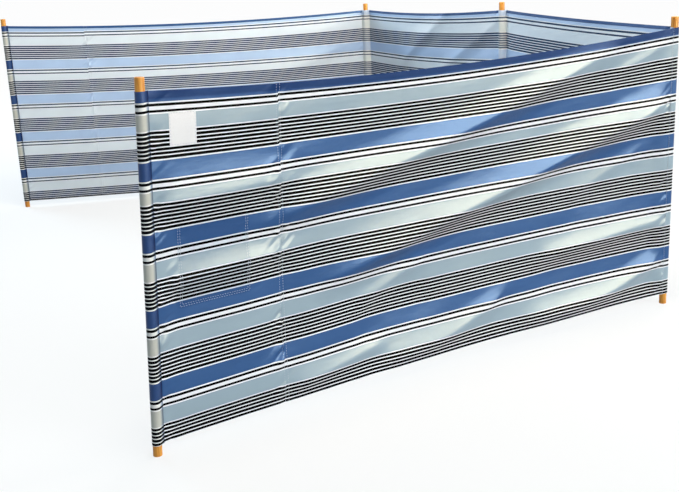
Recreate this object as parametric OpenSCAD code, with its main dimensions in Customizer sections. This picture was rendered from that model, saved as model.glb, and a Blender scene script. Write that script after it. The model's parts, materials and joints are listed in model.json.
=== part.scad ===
// Beach windbreak: one long striped cloth in four bays, held up by five round wooden poles in sewn sleeves.
// In plan the two back bays make a shallow V and the two long wings fold round the sheltered side.
// Millimetres. The ground is Z = 0, the origin is under the middle pole's axis, +X runs along the back
// from the left corner to the right corner, and the shelter opens towards -Y.

/* [Poles] */
// Diameter of the round wooden poles
pole_d = 25; // [20:0.5:40]
// Bare pole above the cloth
top_stub = 35; // [10:1:120]
// Bare pole between the ground and the cloth, at the end poles
bottom_stub = 32; // [10:1:120]
// Rounding of the edge at each pole's top
pole_round = 2.5; // [0.5:0.5:6]
// Lean of the right end pole, back along its bay, in degrees
end_pole_angle = 3; // [0:0.5:6]

/* [Plan] */
// Length of a back bay between pole axes
back_bay = 1290; // [700:5:2500]
// Length of a wing between pole axes
wing_bay = 1935; // [900:5:2600]
// Turn of the row at the middle pole, in degrees
middle_angle = 9.4; // [0:0.2:40]
// Turn of the row at each corner pole, in degrees
corner_angle = 76; // [20:1:90]

/* [Cloth] */
// Thickness of the cloth
cloth_t = 2; // [1:0.25:4]
// Height of the cloth
cloth_h = 933; // [700:1:1500]
// Height of the turned hems
hem_h = 12; // [6:1:40]
// Droop of the left wing's top edge at mid-bay
left_wing_sag = 26; // [0:1:80]
// Droop of the left back bay's top edge
left_back_sag = 16; // [0:1:80]
// Droop of the right back bay's top edge
right_back_sag = 5; // [0:1:80]
// Droop of the right wing's top edge
right_wing_sag = 36; // [0:1:80]
// How far the wind pushes the left wing towards the sheltered side at mid-bay
left_wing_bow = 25; // [0:1:120]
// The same for each back bay
back_bow = 12; // [0:1:80]
// The same for the right wing
right_wing_bow = 50; // [0:1:120]

/* [Folds] */
// Height of the crests of the right wing's two large folds
right_wing_fold_h = 20; // [0:1:30]
// The same for the folds of each back bay
back_fold_h = 8; // [0:1:20]
// The same for the folds of the left wing
left_wing_fold_h = 6; // [0:1:20]
// Width of the steep side below a fold's crest
fold_w = 84; // [60:1:160]
// Length of the slope that rises to a fold's crest
fold_rise = 110; // [60:1:200]
// Distance from a hem, a pole or a join over which the folds flatten out
fold_fade = 60; // [30:1:120]

/* [Sleeves and seams] */
// Clearance between a pole and its sleeve
sleeve_gap = 0.4; // [0.2:0.1:2]
// Length of the sewn flange on each side of a sleeve at the inner poles
flange_l = 22; // [17:1:60]
// Flat of an end pole's sleeve, from its round side to the seam that closes it
end_flat = 7; // [4:0.5:40]
// Clearance between cloth pieces that are sewn together
sewn_gap = 0.3; // [0.1:0.1:1]
// Distance from an end pole's axis to the vertical join in the wing
join_from_pole = 408; // [200:1:800]
// Width of the join's lap
join_w = 16; // [8:1:40]

/* [Label] */
// Width of the bare label patch
label_w = 78; // [30:1:110]
// Height of the label patch
label_h = 87; // [30:1:200]
// Thickness of the label patch
label_t = 0.8; // [0.4:0.1:2]
// Distance from the right end pole's axis to the label
label_from_pole = 76; // [40:1:85]
// Distance from the cloth's top edge to the label
label_from_top = 55; // [20:1:100]

/* [Pocket] */
// Width of the flat pocket on the sheltered side
pocket_w = 222; // [80:1:240]
// Height of the pocket
pocket_h = 222; // [80:1:300]
// Distance from the right end pole's axis to the pocket
pocket_from_pole = 86; // [40:1:140]
// Distance from the cloth's top edge to the pocket's mouth
pocket_from_top = 356; // [120:1:380]

/* [Hidden] */

wood = [0.89, 0.64, 0.28];
blue = [0.26, 0.40, 0.68];
deep_blue = [0.20, 0.32, 0.58];
off_white = [0.94, 0.94, 0.92];

// Poles are numbered 0 to 4 and bays 0 to 3, from the left end to the right end
left_end_index = 0;
left_corner_index = 1;
middle_index = 2;
right_corner_index = 3;
right_end_index = 4;
left_wing_index = 0;
left_back_index = 1;
right_back_index = 2;
right_wing_index = 3;

// Bare pole below the cloth at each pole, as a share of the end poles'
bottom_stub_shares = [1, 0.06, 1.31, 1.25, 1];
pole_angles = [0, 0, 0, 0, end_pole_angle];
bay_sags = [left_wing_sag, left_back_sag, right_back_sag, right_wing_sag];
bay_bows = [left_wing_bow, back_bow, back_bow, right_wing_bow];
bay_fold_heights = [left_wing_fold_h, back_fold_h, back_fold_h, right_wing_fold_h];
// Side of the cloth that the crests stand out on: 1 outside, -1 sheltered
bay_fold_sides = [-1, -1, -1, 1];

// Folds of each bay. A fold's steep side runs between two places, given as shares along the bay and down from
// its top edge, and bows down between them by a share of the cloth's height
bay_fold_shares = [
    [[[0.94, 0.26], [0.46, 0.56], 0], [[0.68, 0.60], [0.22, 0.80], 0], [[0.97, 0.60], [0.52, 0.93], 0]],
    [[[0.70, -0.01], [0.29, 0.32], 0], [[1.02, 0.06], [0.58, 0.35], 0], [[0.93, 0.45], [0.10, 0.75], 0]],
    [[[0.95, 0.14], [0.26, 0.35], 0], [[0.95, 0.43], [0.08, 0.75], 0]],
    [[[0.11, 0.05], [0.64, 0.38], -0.015], [[-0.01, 0.28], [0.755, 0.635], 0.039]]
];
// Where a fold starts to fade at its ends, and how long it takes, as shares of its length
fold_past_share = 0.1;
fold_end_share = 0.25;

// Plan of the row: the right half follows from the folds, and the left half mirrors it
function heading(angle) = [cos(angle), sin(angle)];
function mirrored(point) = [-point.x, point.y];
right_corner_foot = back_bay * heading(-middle_angle / 2);
right_end_foot = right_corner_foot + wing_bay * heading(-middle_angle / 2 - corner_angle);
feet = [mirrored(right_end_foot), mirrored(right_corner_foot), [0, 0], right_corner_foot, right_end_foot];

bay_angles = [
    corner_angle + middle_angle / 2,
    middle_angle / 2,
    -middle_angle / 2,
    -corner_angle - middle_angle / 2
];
function along(bay) = heading(bay_angles[bay]);
function outward(bay) = heading(bay_angles[bay] + 90);

// Heights at each pole: the cloth's two edges, then the pole's top
function cloth_bottom(pole) = bottom_stub * bottom_stub_shares[pole];
function cloth_top(pole) = cloth_bottom(pole) + cloth_h;
function pole_top(pole) = cloth_top(pole) + top_stub;

// A pole's axis at a height: only the right end pole leans, back along its bay
function on_axis(pole, z) = feet[pole] - along(right_wing_index) * z * tan(pole_angles[pole]);

// Sleeve sizes
bore_r = pole_d / 2 + sleeve_gap;
sleeve_r = bore_r + cloth_t;
// Distance from an end pole's axis to the seam that closes its sleeve
end_seam = sleeve_r + end_flat;
round_facets = 64;
// Step from a sleeve's round outside down to the face of its flanges
flange_step = 0.25;
flange_t = cloth_t - flange_step;
flange_mid_r = bore_r + flange_t / 2;
// How far past the tangent points an end sleeve's straight sides start, in degrees
loop_overlap_angle = 6;

// Where a bay's cloth starts and ends: on the outer tangent of an inner sleeve, or at an end sleeve's seam
function is_end(pole) = pole == left_end_index || pole == right_end_index;
function inset(pole) = (is_end(pole) ? end_seam : flange_l) + sewn_gap;
function side_offset(pole) = is_end(pole) ? 0 : flange_mid_r;
function bay_length(bay) = norm(feet[bay + 1] - feet[bay]);
function cloth_length(bay) = bay_length(bay) - inset(bay) - inset(bay + 1);
function start_edge(bay, z) = on_axis(bay, z) + along(bay) * inset(bay) + outward(bay) * side_offset(bay);
function end_edge(bay, z) =
    on_axis(bay + 1, z) - along(bay) * inset(bay + 1) + outward(bay) * side_offset(bay + 1);

// A point of a bay's cloth, from its share along the bay, its share of the height and its outward offset
function mix_of(a, b, share) = a + (b - a) * share;
function arch(share) = 1 - pow(2 * share - 1, 2);
function cloth_z(bay, s, v) =
    mix_of(
        mix_of(cloth_bottom(bay), cloth_bottom(bay + 1), s),
        mix_of(cloth_top(bay), cloth_top(bay + 1), s) - bay_sags[bay] * arch(s),
        v
    );
function cloth_point(bay, s, v, offset) =
    let (
        z = cloth_z(bay, s, v),
        flat = mix_of(start_edge(bay, z), end_edge(bay, z), s),
        plan = flat + outward(bay) * (offset + fold_relief(bay, s, v) - bay_bows[bay] * arch(s))
    )
    [plan.x, plan.y, z];

// Share along a wing's cloth of a distance from its end pole's axis
function share_in_wing(bay, distance) =
    let (share = (distance - inset(left_end_index)) / cloth_length(bay))
    bay == left_wing_index ? share : 1 - share;

// Facets of the cloth: length along a bay, and rows between the two hems
facet_l = 70;
bay_rows = 24;
hem_share = hem_h / cloth_h;
function columns_in(bay, s_ends) = max(2, round(cloth_length(bay) * (s_ends[1] - s_ends[0]) / facet_l));
function rows_in(v_ends) = max(1, round(bay_rows * (v_ends[1] - v_ends[0])));
function spread(ends, count) = [for (i = [0:count]) mix_of(ends[0], ends[1], i / count)];

// Height of one fold: a slope up to the crest, the steep side, then a longer slope up out of the valley
function eased(value) = let (t = max(0, min(1, value))) t * t * (3 - 2 * t);
function fold_profile(below) =
    let (
        past = max(0, abs(below) - fold_w / 2),
        left = max(0, 1 - past / (below < 0 ? fold_rise : 2 * fold_rise))
    )
    -sin(90 * max(-1, min(1, 2 * below / fold_w))) * left;
function fold_share(bay, fold, s, v) =
    let (
        start = fold[0],
        end = fold[1],
        share = (s - start.x) / (end.x - start.x),
        held = max(0, min(1, share)),
        line = mix_of(start.y, end.y, held) + fold[2] * arch(held),
        run = abs(end.x - start.x) * cloth_length(bay),
        slant = norm([run, (end.y - start.y) * cloth_h]) / run,
        ends = eased((share + fold_past_share) / fold_end_share)
            * eased((1 + fold_past_share - share) / fold_end_share)
    )
    ends * fold_profile((1 - v - line) * cloth_h / slant);

// Distance along the bay from where its folds may start: its sleeves, or one facet away from a wing's join
function fold_reach(bay, s) =
    let (l = cloth_length(bay))
    bay == left_wing_index ? min(1 - s, s - share_in_wing(bay, join_from_pole + facet_l)) * l
    : bay == right_wing_index ? min(s, share_in_wing(bay, join_from_pole + facet_l) - s) * l
    : min(s, 1 - s) * l;
function fold_relief(bay, s, v) =
    let (
        shares = [for (fold = bay_fold_shares[bay]) fold_share(bay, fold, s, v)],
        total = shares * [for (share = shares) 1],
        from_hem = (min(v, 1 - v) - hem_share) * cloth_h,
        fade = eased(from_hem / fold_fade) * eased(fold_reach(bay, s) / fold_fade)
    )
    bay_fold_sides[bay] * bay_fold_heights[bay] * total * fade;

module pole_shape(length) {
    r = pole_d / 2;
    rotate_extrude($fn = round_facets) {
        square([r, length - pole_round]);
        square([r - pole_round, length]);
        translate([r - pole_round, length - pole_round])
            circle(pole_round, $fn = round_facets);
    }
}

// Stands its children on a pole's foot and leans them with it
module at_pole(pole) {
    side = outward(right_wing_index);
    translate([feet[pole].x, feet[pole].y, 0])
        rotate(a = -pole_angles[pole], v = [side.x, side.y, 0])
            children();
}

// A pole from the ground up, cut level at the ground
module pole(pole) {
    length = pole_top(pole) / cos(pole_angles[pole]);
    color(wood)
        difference() {
            at_pole(pole)
                translate([0, 0, -pole_d])
                    pole_shape(length + pole_d);
            translate([feet[pole].x - pole_d, feet[pole].y - pole_d, -2 * pole_d])
                cube(2 * pole_d);
        }
}

// Outline of a loop of cloth that closes at a seam, drawn round a circle
module loop_outline(r, tip) {
    side = acos(r / tip) + loop_overlap_angle;
    circle(r, $fn = round_facets);
    polygon([[tip, 0], r * heading(side), r * heading(-side)]);
}

// Sleeve of an end pole: the cloth goes round the pole and is sewn to itself
module end_sleeve_profile(pole) {
    bay_angle = pole == left_end_index ? bay_angles[left_wing_index] : bay_angles[right_wing_index] + 180;
    rotate(bay_angle)
        difference() {
            loop_outline(sleeve_r, end_seam);
            loop_outline(bore_r, end_seam * bore_r / sleeve_r);
        }
}

// Sleeve of an inner pole: a tube with a sewn flange along each bay, on the outer side
module inner_sleeve_profile(pole) {
    difference() {
        union() {
            circle(sleeve_r, $fn = round_facets);
            rotate(bay_angles[pole - 1])
                translate([-flange_l, bore_r])
                    square([flange_l, flange_t]);
            rotate(bay_angles[pole])
                translate([0, bore_r])
                    square([flange_l, flange_t]);
        }
        circle(bore_r, $fn = round_facets);
    }
}

module sleeve(pole) {
    slope = cos(pole_angles[pole]);
    color(deep_blue)
        at_pole(pole)
            translate([0, 0, cloth_bottom(pole) / slope])
                linear_extrude(cloth_h / slope) {
                    if (is_end(pole)) {
                        end_sleeve_profile(pole);
                    } else {
                        inner_sleeve_profile(pole);
                    }
                }
}

// A thick patch of a bay's cloth at an outward offset, with a facet between each two of the given shares along the
// bay and up it. The facets' diagonals run along the folds
module cloth_patch(bay, s_shares, v_shares, offset, thickness) {
    columns = len(s_shares) - 1;
    rows = len(v_shares) - 1;
    ring = columns + 1;
    layer = ring * (rows + 1);
    points = [
        for (side = [-1, 1], v = v_shares, s = s_shares)
            cloth_point(bay, s, v, offset + side * thickness / 2)
    ];
    inner_faces = [
        for (j = [0:rows - 1], i = [0:columns - 1])
            let (a = j * ring + i, b = a + ring)
            each bay == right_wing_index ? [[a, b, a + 1], [a + 1, b, b + 1]] : [[a, b, b + 1], [a, b + 1, a + 1]]
    ];
    outer_faces = [
        for (face = inner_faces)
            [face[2] + layer, face[1] + layer, face[0] + layer]
    ];
    rim = [
        for (i = [0:columns - 1]) i,
        for (j = [0:rows - 1]) j * ring + columns,
        for (i = [columns:-1:1]) rows * ring + i,
        for (j = [rows:-1:1]) j * ring
    ];
    rim_faces = [
        for (k = [0:len(rim) - 1])
            let (a = rim[k], b = rim[(k + 1) % len(rim)])
            each [[a, b, b + layer], [a, b + layer, a + layer]]
    ];
    polyhedron(points = points, faces = concat(inner_faces, outer_faces, rim_faces), convexity = 4);
}

// Half of the gap between two cloth pieces that meet at a join, as a share of the wing
function half_gap_share(bay) = sewn_gap / 2 / cloth_length(bay);

// Offset of a piece that is sewn on the sheltered side of the cloth
inner_offset = -cloth_t - sewn_gap;

// Cloth from bottom to top between two shares of a bay, with a row of facets for each hem
module whole_cloth(bay, s_ends) {
    rows = concat(0, spread([hem_share, 1 - hem_share], bay_rows), 1);
    color(blue)
        cloth_patch(bay, spread(s_ends, columns_in(bay, s_ends)), rows, 0, cloth_t);
}

// A patch of plain rows and columns between shares of a bay's length and height
module plain_patch(bay, s_ends, v_ends, offset, thickness) {
    cloth_patch(bay, spread(s_ends, columns_in(bay, s_ends)), spread(v_ends, rows_in(v_ends)), offset, thickness);
}

module wing_end_cloth(bay) {
    join = share_in_wing(bay, join_from_pole);
    gap = half_gap_share(bay);
    ends = bay == left_wing_index ? [0, join - gap] : [join + gap, 1];
    whole_cloth(bay, ends);
}

module wing_cloth(bay) {
    join = share_in_wing(bay, join_from_pole);
    gap = half_gap_share(bay);
    ends = bay == left_wing_index ? [join + gap, 1] : [0, join - gap];
    whole_cloth(bay, ends);
}

module back_cloth(bay) {
    whole_cloth(bay, [0, 1]);
}

// Lap of the vertical join in a wing, between the two hems
module wing_join(bay) {
    join = share_in_wing(bay, join_from_pole);
    half = join_w / 2 / cloth_length(bay);
    end_share = (hem_h + sewn_gap) / (cloth_h - bay_sags[bay]);
    color(deep_blue)
        plain_patch(bay, [join - half, join + half], [end_share, 1 - end_share], inner_offset, cloth_t);
}

module top_hem(bay) {
    color(deep_blue)
        plain_patch(bay, [0, 1], [1 - hem_share, 1], inner_offset, cloth_t);
}

module bottom_hem(bay) {
    color(deep_blue)
        plain_patch(bay, [0, 1], [0, hem_share], inner_offset, cloth_t);
}

// Shares of the right wing that a patch takes up, from its distances to the end pole and the top edge
function patch_s(from_pole, width) =
    [share_in_wing(right_wing_index, from_pole + width), share_in_wing(right_wing_index, from_pole)];
function patch_v(from_top, height) = [1 - (from_top + height) / cloth_h, 1 - from_top / cloth_h];

module label_patch() {
    color(off_white)
        plain_patch(
            right_wing_index,
            patch_s(label_from_pole, label_w),
            patch_v(label_from_top, label_h),
            (cloth_t + label_t) / 2 + sewn_gap,
            label_t
        );
}

module pocket_panel() {
    color(blue)
        plain_patch(
            right_wing_index,
            patch_s(pocket_from_pole, pocket_w),
            patch_v(pocket_from_top, pocket_h),
            inner_offset,
            cloth_t
        );
}

pole(left_end_index);  // left_end_pole
pole(left_corner_index);  // left_corner_pole
pole(middle_index);  // middle_pole
pole(right_corner_index);  // right_corner_pole
pole(right_end_index);  // right_end_pole

sleeve(left_end_index);  // left_end_sleeve
sleeve(left_corner_index);  // left_corner_sleeve
sleeve(middle_index);  // middle_sleeve
sleeve(right_corner_index);  // right_corner_sleeve
sleeve(right_end_index);  // right_end_sleeve

wing_end_cloth(left_wing_index);  // left_wing_end_cloth
wing_cloth(left_wing_index);  // left_wing_cloth
back_cloth(left_back_index);  // left_back_cloth
back_cloth(right_back_index);  // right_back_cloth
wing_cloth(right_wing_index);  // right_wing_cloth
wing_end_cloth(right_wing_index);  // right_wing_end_cloth

wing_join(left_wing_index);  // left_wing_join
wing_join(right_wing_index);  // right_wing_join

top_hem(left_wing_index);  // left_wing_top_hem
top_hem(left_back_index);  // left_back_top_hem
top_hem(right_back_index);  // right_back_top_hem
top_hem(right_wing_index);  // right_wing_top_hem
bottom_hem(left_wing_index);  // left_wing_bottom_hem
bottom_hem(left_back_index);  // left_back_bottom_hem
bottom_hem(right_back_index);  // right_back_bottom_hem
bottom_hem(right_wing_index);  // right_wing_bottom_hem

label_patch();
pocket_panel();
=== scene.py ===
"""Beach windbreak: striped satin cloth in four bays on five wooden poles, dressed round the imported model.

Metres, in the model's own frame: the ground is Z = 0, the row's back runs along +X, the shelter opens to -Y.
"""

import collections
import json
import math

import bpy
import numpy as np
from mathutils import Matrix, Vector


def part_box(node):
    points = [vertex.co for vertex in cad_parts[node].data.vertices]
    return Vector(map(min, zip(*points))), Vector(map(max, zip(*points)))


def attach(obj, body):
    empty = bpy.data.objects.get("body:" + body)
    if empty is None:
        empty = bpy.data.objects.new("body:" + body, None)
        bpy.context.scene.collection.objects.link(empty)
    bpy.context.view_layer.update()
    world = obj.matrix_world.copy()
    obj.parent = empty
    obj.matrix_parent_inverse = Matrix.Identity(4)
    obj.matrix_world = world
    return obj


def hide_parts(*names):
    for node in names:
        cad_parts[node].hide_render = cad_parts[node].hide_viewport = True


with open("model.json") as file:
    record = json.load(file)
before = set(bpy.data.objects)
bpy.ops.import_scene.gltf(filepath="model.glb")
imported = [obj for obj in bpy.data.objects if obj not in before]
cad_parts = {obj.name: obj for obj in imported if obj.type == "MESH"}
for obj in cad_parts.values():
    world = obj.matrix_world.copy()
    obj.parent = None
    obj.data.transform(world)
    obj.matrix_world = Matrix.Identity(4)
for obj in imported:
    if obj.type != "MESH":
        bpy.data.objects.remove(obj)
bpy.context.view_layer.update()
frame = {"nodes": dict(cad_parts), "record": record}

MM = 0.001
BODY = "root"

# The row: poles and bays from the left end to the right end
POLES = ("left_end", "left_corner", "middle", "right_corner", "right_end")
BAYS = ("left_wing", "left_back", "right_back", "right_wing")

# Cloth
CLOTH_HEIGHT = 933 * MM
CLOTH_THICKNESS = 0.6 * MM
ROW_STEP = 6 * MM
COLUMN_STEP = 9 * MM
FINE_STEP = 3.5 * MM
FINE_REACH = 50 * MM
SHEET_SHARP = math.radians(60)
# How each bay hangs: the top edge's sag, how fast that dies away down the cloth, how far the lower part
# swells outwards, and the bow in plan towards the sheltered side
SAGS = {"left_wing": 26 * MM, "left_back": 16 * MM, "right_back": 5 * MM, "right_wing": 39 * MM}
HANGS = {"left_wing": 1, "left_back": 1, "right_back": 1, "right_wing": 2}
BELLIES = {"left_wing": 0.0, "left_back": 0.0, "right_back": 0.0, "right_wing": 16 * MM}
BOWS = {"left_wing": 25 * MM, "left_back": 12 * MM, "right_back": 12 * MM, "right_wing": 50 * MM}
BELLY_FROM, BELLY_POWER = 0.4, 2.2

# Sleeves, hems, joins and what is sewn on
WRAP_RADIUS = 14.2 * MM
STRIP_RADIUS = 14.2 * MM
LOOP_RADIUS = 13.4 * MM
SLEEVE_STITCH = 17 * MM
END_SEAM = 20.5 * MM
HEM_HEIGHT = 12 * MM
HEM_STITCH = 9.5 * MM
JOIN_FROM_POLE = 408 * MM
JOIN_WIDTH = 15 * MM
JOIN_STITCH = 5.5 * MM
LAYER = 0.9 * MM
LABEL = {"from_pole": 76 * MM, "from_top": 55 * MM, "width": 78 * MM, "height": 87 * MM}
POCKET = {"from_pole": 86 * MM, "from_top": 356 * MM, "width": 222 * MM, "height": 222 * MM}
POCKET_SLACK = 7 * MM
HEM_STEP = 3 * MM
JOIN_COLUMNS = 7
LABEL_POINTS = 25
POCKET_COLUMNS, POCKET_ROWS = 41, 45
STRIP_MARGIN = 2 * MM
ARC_POINTS, LEAD_POINTS = 25, 6

# How loosely the sleeves lie, as loops at the end poles and strips at the others, and their ripples
LOOP_PUFF, STRIP_PUFF = 0.5 * MM, -1.2 * MM
RIPPLE_WIDTH, RIPPLE_HEIGHT = 30 * MM, 50 * MM
RIPPLE_SEED = 40

# The print: heights in the repeat, from the middle of the thin line under the top band
REPEAT = 200 * MM
FIRST_LINE = 31.6 * MM
GREY_FROM, GREY_TO = 23 * MM, 68 * MM
GREY_SHORT = (5 * MM, 16.3 * MM)
THIN_HALF = 3.3 * MM
SECOND_FROM, SECOND_TO = 12.9 * MM, 19.5 * MM
SEVEN_FIRST, SEVEN_PITCH, SEVEN_HALF, SEVEN_COUNT = 75 * MM, 10.5 * MM, 3.7 * MM, 7
BLUE_FROM, BLUE_TO = 146 * MM, 192.5 * MM
JOIN_STEP = 3.5 * MM

# Camera, fitted to the poles and stripes of the photograph
PHOTO_WIDTH = 679
FOCAL_PX = 1030.8
SENSOR = 36.0
CAMERA_AT = (4.1084, -2.4556, 1.2819)
CAMERA_HEADING = 158.475
CAMERA_DOWN = 16.191
CAMERA_ROLL = 2.715


def srgb(red, green, blue):
    """A colour from its usual 0 to 255 values, as linear light with alpha."""
    def linear(value):
        value /= 255
        return value / 12.92 if value <= 0.04045 else ((value + 0.055) / 1.055) ** 2.4
    return (linear(red), linear(green), linear(blue), 1.0)


def even(value):
    """The same value in every channel, with alpha."""
    return (value, value, value, 1.0)


# The print's colours: outside, on the sheltered side, on the end poles' loops and on the doubled strips
OUTER_PRINT = {
    "blue": srgb(46, 86, 139), "grey": srgb(151, 172, 186),
    "white": srgb(244, 245, 250), "black": srgb(7, 7, 10),
}
# The sheltered side's print is paler as the reverse of a print is, and paler still with painted light for
# light shining through the thin cloth
INNER_PRINT = {
    "blue": srgb(175, 200, 233), "grey": srgb(226, 236, 245),
    "white": srgb(242, 247, 253), "black": srgb(48, 66, 94),
}
# The loops carry the outside's print in colours that paint the light on them: a warmer, paler grey and a
# darker blue
LOOP_PRINT_WITH_PAINTED_LIGHT = {
    "blue": srgb(36, 66, 116), "grey": srgb(194, 194, 186),
    "white": srgb(242, 241, 239), "black": srgb(8, 8, 12),
}
STRIP_PRINT = {
    "blue": srgb(196, 210, 230), "grey": srgb(228, 233, 230),
    "white": srgb(243, 243, 239), "black": srgb(104, 113, 130),
}
# The satin of each stripe: how strong its gloss is, and how far its gloss takes on its colour
GLOSS = {"blue": even(0.27), "grey": even(0.43), "white": even(0.08), "black": even(0.03)}
LUSTRE = {"blue": even(0.18), "grey": even(0.0), "white": even(0.0), "black": even(0.0)}
# How strongly red, green and blue follow the painted shade, so that the shaded cloth turns a deeper blue
PAINTED_SHADE_POWERS = (1.3, 1.05, 0.72)
# Painted shade on the outer print: along the doubled top edge and over the pocket, where less light comes
# through, and in the creases of the loops
TOP_PAINTED_SHADE, TOP_PAINTED_SHADE_TO, TOP_PAINTED_SHADE_FADE = 0.38, 20 * MM, 8 * MM
POCKET_PAINTED_SHADE, POCKET_PAINTED_SHADE_EDGE = 0.86, 3 * MM
CREASE_PAINTED_SHADE, CREASE_WIDTH = 0.25, 18 * MM
WEAVE_PITCH = 0.7 * MM
# Painted shade in the hollows of the label's weave and of the thread: how dark they are
PLAIN_HOLLOW_SHADE = 0.86
THREAD = srgb(190, 199, 214)
HEM_THREAD = srgb(40, 68, 118)
LABEL_WHITE = srgb(234, 234, 238)
WOOD_LIGHT, WOOD_DARK = srgb(236, 164, 64), srgb(200, 122, 38)


def smooth(value):
    """Eases 0 to 1, and holds outside."""
    value = np.clip(value, 0, 1)
    return value * value * (3 - 2 * value)


def mix(a, b, share):
    return a + (b - a) * share


def soft_noise(x, y, seed):
    """A smooth random field from -1 to 1, with cells one unit across."""
    size = 97
    grid = np.random.default_rng(seed).uniform(-1, 1, (size, size))
    column, row = np.floor(x).astype(int), np.floor(y).astype(int)
    across, down = smooth(x - column), smooth(y - row)
    c0, c1, r0, r1 = column % size, (column + 1) % size, row % size, (row + 1) % size
    upper = mix(grid[r0, c0], grid[r0, c1], across)
    lower = mix(grid[r1, c0], grid[r1, c1], across)
    return mix(upper, lower, down)


# The row's layout, from the frame


class Pole:
    """A pole's axis, and the heights between which the cloth hangs on it."""

    def __init__(self, name):
        mounts = {m["name"]: m["pos_m"] for m in frame["record"]["mounts"]}
        self.name = name
        self.foot = np.array(mounts[name + "_foot"])
        corners = np.array([v.co for v in frame["nodes"][name + "_pole"].data.vertices])
        upper = corners[corners[:, 2] > corners[:, 2].max() / 2].mean(axis=0)
        self.slope = ((upper - self.foot) / (upper - self.foot)[2])[:2]
        low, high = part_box(name + "_sleeve")
        self.bottom, self.top = low.z, high.z
        self.is_end = name in (POLES[0], POLES[-1])

    def at(self, z):
        """The axis in plan at heights z."""
        return self.foot[:2] + np.multiply.outer(z, self.slope)


class Bay:
    """One stretch of cloth between two poles."""

    def __init__(self, index):
        self.name = BAYS[index]
        self.start, self.end = poles[index], poles[index + 1]
        run = (self.end.foot - self.start.foot)[:2]
        self.length = float(np.linalg.norm(run))
        self.along = run / self.length
        self.out = np.array([-self.along[1], self.along[0]])
        self.sag, self.hang = SAGS[self.name], HANGS[self.name]
        self.bow, self.belly = BOWS[self.name], BELLIES[self.name]
        self.seams = [SLEEVE_STITCH, self.length - SLEEVE_STITCH]
        if self.name == "left_wing":
            self.join = JOIN_FROM_POLE
        elif self.name == "right_wing":
            self.join = self.length - JOIN_FROM_POLE
        else:
            self.join = None


poles = [Pole(name) for name in POLES]
bays = [Bay(index) for index in range(len(BAYS))]
bay_named = {bay.name: bay for bay in bays}

Fold = collections.namedtuple("Fold", "start end bow crest valley width rise side")

# Folds of each bay, in millimetres from the start pole and from the top edge: the two ends of the steep
# side's middle line and how far it bows down between them, the crest's height and the valley's depth, the
# steep side's width, the length of the slope above it, and the side that the crest stands out on: 1 outside,
# -1 sheltered
FOLDS = {
    "right_wing": [
        Fold((230, 52), (1560, 422), 18, 20, 14, 74, 112, 1),
        Fold((0, 277), (1330, 630), 6, 26, 17, 76, 140, 1),
        Fold((20, 60), (260, 145), 0, 5, 5, 44, 45, 1),
        Fold((120, 412), (430, 540), 0, 5, 4, 46, 45, 1),
        Fold((0, 684), (560, 730), 0, 13, 8, 60, 68, 1),
        Fold((-40, 790), (620, 950), 50, 18, 6, 66, 92, 1),
        Fold((700, 815), (1180, 950), 35, 12, 4, 72, 82, 1),
        Fold((1010, 620), (1270, 740), 0, 7, 5, 50, 52, 1),
        Fold((1180, 870), (1500, 930), 0, 10, 2, 56, 68, 1),
        Fold((1490, 305), (1930, 335), 0, 11, 6, 80, 128, 1),
        Fold((1480, 500), (1900, 540), 0, 11, 5, 60, 80, 1),
    ],
    "left_wing": [
        Fold((1920, 30), (1600, 150), 0, 3, 3, 50, 60, -1),
        Fold((1800, 240), (900, 520), 0, 5, 5, 90, 110, -1),
        Fold((1300, 560), (200, 820), 0, 5, 5, 90, 110, -1),
        Fold((1850, 560), (1000, 870), 0, 6, 6, 90, 110, -1),
    ],
    "left_back": [
        Fold((900, -10), (380, 300), 0, 7, 5, 60, 110, -1),
        Fold((1290, 60), (740, 330), 0, 7, 5, 60, 110, -1),
        Fold((1180, 420), (150, 700), 0, 9, 9, 90, 110, -1),
        Fold((1100, 660), (300, 905), 0, 8, 8, 90, 110, -1),
    ],
    "right_back": [
        Fold((1200, 130), (350, 330), 0, 5, 5, 90, 110, -1),
        Fold((1200, 400), (120, 700), 0, 9, 9, 90, 110, -1),
        Fold((1050, 700), (250, 905), 0, 7, 7, 90, 110, -1),
    ],
}

# How many times longer the slope out of a valley is than the one up to the crest
VALLEY_LENGTH = 4.6
# Each fold is taken at three heights, with these weights, so that its crest is round
CREST_ROUND = 9 * MM
CREST_STEPS = ((-CREST_ROUND, 0.25), (0.0, 0.5), (CREST_ROUND, 0.25))
# The share of its rise that a fold has at its start
START_RISE = 0.6
# How the slope up to the crest and the steep side curve
RISE_POWER, FALL_POWER = 1.4, 1.7
# How far past its ends a fold reaches and over what part it fades, as shares of its length
FOLD_PAST, FOLD_FADE = 0.1, 0.25

# Slack: low waves along a slanting drift, each with its height, length, width and place in its noise
Wave = collections.namedtuple("Wave", "height length width place")
WAVES = (Wave(4.0 * MM, 0.42, 0.16, (3, 5)), Wave(1.4 * MM, 0.17, 0.06, (1, 9)))
DRIFT_ALONG, DRIFT_DOWN = 0.94, 0.34
# How much of the folds and slack is left at the top and bottom edges, and how far from an edge, a pole,
# a seam or the pocket's ends the cloth is held
TOP_LEFT, TOP_HELD = 0.4, 150 * MM
BOTTOM_LEFT, BOTTOM_HELD = 0.45, 60 * MM
POLE_HELD, SEAM_HELD, POCKET_HELD = 70 * MM, 6 * MM, 20 * MM

# Puckers beside rows of stitches
Pucker = collections.namedtuple("Pucker", "height reach pitch")
SEAM_PUCKER = Pucker(6 * MM, 11 * MM, 14 * MM)
JOIN_PUCKER = Pucker(6 * MM, 12 * MM, 13 * MM)
POCKET_PUCKER = Pucker(4 * MM, 9 * MM, 13 * MM)
PUCKER_LEAN = 0.8
CLUSTER_SHARE, CLUSTER_LENGTH = 0.45, 60 * MM
JOIN_DIP, JOIN_DIP_REACH = 1.0 * MM, 9 * MM


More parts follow.
